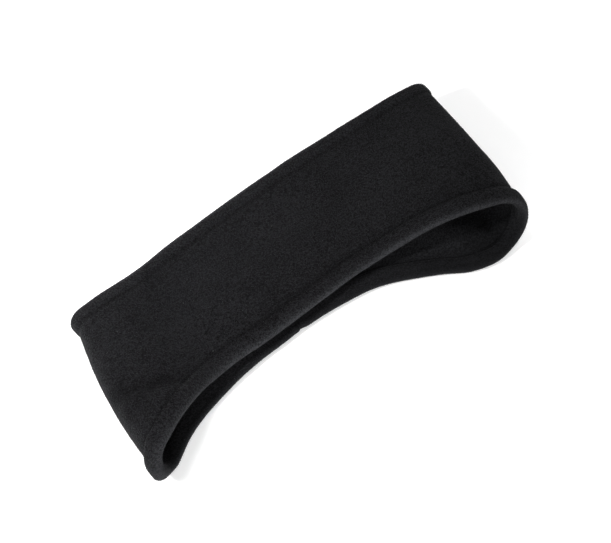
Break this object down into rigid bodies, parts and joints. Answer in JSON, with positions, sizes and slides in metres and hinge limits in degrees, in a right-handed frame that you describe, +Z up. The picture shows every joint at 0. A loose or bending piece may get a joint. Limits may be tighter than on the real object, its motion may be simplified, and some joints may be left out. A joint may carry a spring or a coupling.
{
  "type": "fleece headband",
  "caption": "Fleece ear-warmer headband: a closed loop with turned, stitched edges, narrower over the forehead and deeper over the ears, lying flattened.",
  "frame": {"origin": "middle of the bounding box, on the surface that the headband lies on", "axes": "+X along the flattened band towards the fold with the larger open lobe, +Y towards the upper edge as worn, +Z up from the surface to the forehead layer"},
  "size_m": [0.2592, 0.121, 0.0399],
  "materials": {
    "fleece": "black micro-fleece with a short matte pile",
    "hem_fleece": "the same black micro-fleece, doubled and stitched with black thread",
    "seam_fleece": "the same black micro-fleece, pressed seam allowance"
  },
  "bodies": {
    "root": {"fleece_band": "fleece", "bottom_hem": "hem_fleece", "top_hem": "hem_fleece", "back_seam": "seam_fleece"}
  },
  "joints": []
}
